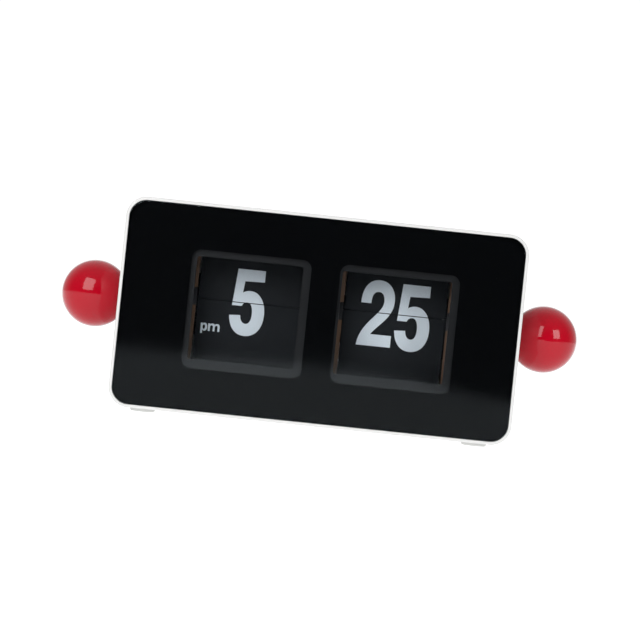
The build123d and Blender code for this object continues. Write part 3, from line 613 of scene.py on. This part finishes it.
# Figure of the hour with its small letters
def hourMarks(figure):
    left, foot, height = hourText["figure"]
    x, z, unit = hourText["letters"]
    nextX = x + hourText["letterStep"] * unit
    return [(figure, left, foot, height), ("p", x, z, unit), ("m", nextX, z, unit)]


# Two figures of the minute, of which the second changes
def minuteMarks(second):
    return [("2", *minuteText["first"]), (second, *minuteText["second"])]


# Place of a leaf's pins and the angle that the leaf falls through
def hingeOf(name):
    return Vector(joints[name]["pos_m"]), math.radians(joints[name]["range_deg"][1])


# Lays a printed half on a leaf: stands it at the leaf's face, turns it about the leaf's pin and then
# carries it to where that pin is
def printOn(name, marks, split, upper, body, plane, turn=0.0, pivot=None, carried=(0, 0, 0)):
    gap = splitGap / 2 if upper else -splitGap / 2
    mesh = figureMesh(name, marks, split + gap, upper)
    mesh.transform(Matrix.Translation((0, plane - ink["lift"] * mm, 0)))
    if turn:
        mesh.transform(Matrix.Translation(pivot) @ Matrix.Rotation(turn, 4, "X") @ Matrix.Translation(-pivot))
    mesh.transform(Matrix.Translation(carried))
    return asPiece(name, mesh, body, printWhite)


leafHalf = 0.07 * mm
restLean = math.radians(1.5)


# Upper half of this reading on the top leaf and lower half on the fallen leaf. The next reading's lower
# half is on the back of the top leaf, made where it will hang and turned back by the whole fall, and
# its upper half is on the first waiting leaf
def printLeafSet(title, nowMarks, nextMarks, text, jointName, body, fallenNode):
    hinge, fall = hingeOf(jointName)
    split = text["split"]
    upright = hinge.y - leafHalf
    printOn(f"{title}Upper", nowMarks, split, True, body, upright, -restLean, hinge)
    printOn(f"{title}Lower", nowMarks, split, False, "clock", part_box(fallenNode)[0][1])
    printOn(f"{title}NextLower", nextMarks, split, False, body, upright, -fall, hinge)
    pinY, pinZ, direction = text["waiting"]
    lean = math.radians(90 - direction)
    toPin = (0, pinY * mm - hinge.y, pinZ * mm - hinge.z)
    printOn(f"{title}NextUpper", nextMarks, split, True, "clock", upright, lean, hinge, toPin)


printLeafSet("hours", hourMarks("5"), hourMarks("6"), hourText, "hour_leaf_fall", "hour_leaf",
             "hour_leaves_fallen")
printLeafSet("minutes", minuteMarks("5"), minuteMarks("6"), minuteText, "minute_leaf_fall", "minute_leaf",
             "minute_leaves_fallen")
print("figures printed")


# Outline of the pale floor; its front edge is near enough to be mirrored in the lower part of the lens
floorOutline = [(-4, -1.1), (-0.6, -1.25), (-0.19, -1.40), (0.0, -1.55), (0.09, -1.35), (0.15, -0.85),
                (0.4, -0.7), (4, -0.7), (4, 6), (-4, 6)]
floorMesh = bpy.data.meshes.new("floor")
floorMesh.from_pydata([(x, y, 0) for x, y in floorOutline], [], [tuple(range(len(floorOutline)))])
floor = bpy.data.objects.new("floor", floorMesh)
bpy.context.scene.collection.objects.link(floor)


# White sweep lit from below: its glow drifts very slightly with a broad noise
def makePaleFloor():
    finish = Finish("paleFloor")
    drift = finish.noise(2.0)
    return finish.wear(
        Base_Color=finish.blend(drift, (0.24, 0.24, 0.24), (0.26, 0.26, 0.26)),
        Emission_Color=finish.blend(drift, (0.96, 0.97, 0.98), (1.0, 1.0, 1.0)),
        Emission_Strength=0.93,
        Roughness=0.7,
    )


floorMesh.materials.append(makePaleFloor())

# Tones of the surroundings from straight in front (0) round to straight behind (1), and a glow from above
worldTones = [(0.0, 0.008), (0.03, 0.012), (0.12, 0.05), (0.50, 0.10), (0.72, 0.42), (0.93, 0.62),
              (0.965, 1.05)]
overheadGlow = 0.3
world = bpy.data.worlds.new("studio")
bpy.context.scene.world = world
world.use_nodes = True
sky = NodeTree(world.node_tree)
look = sky.node("ShaderNodeTexCoord", {}, {}, "Object")
backwards = sky.node("ShaderNodeSeparateXYZ", {}, {"Vector": look}, "Y") * 0.5 + 0.5
upwards = sky.node("ShaderNodeSeparateXYZ", {}, {"Vector": look}, "Z").atLeast(0.0)
stops = [(place, (tone, tone, tone)) for place, tone in worldTones]
around = sky.node("ShaderNodeValToRGB", {"stops": stops}, {"Fac": backwards})
sky.feed(world.node_tree.nodes["Background"].inputs["Color"], around + upwards * upwards * overheadGlow)


# Soft rectangular lamp at a place, turned to its aim
def softbox(name, place, aim, width, height, power):
    lamp = bpy.data.lights.new(name, "AREA")
    lamp.shape = "RECTANGLE"
    lamp.size, lamp.size_y = width, height
    lamp.energy = power
    box = bpy.data.objects.new(name, lamp)
    box.location = place
    box.rotation_euler = (Vector(aim) - Vector(place)).to_track_quat("-Z", "Y").to_euler()
    bpy.context.scene.collection.objects.link(box)


aim = (0, 0, 0.05)
softbox("keyLeft", (-0.63, -1.26, 0.80), aim, width=1.0, height=1.15, power=16)
softbox("keyRight", (1.05, -1.08, 0.60), aim, width=0.6, height=0.75, power=7.5)
print("lights set")
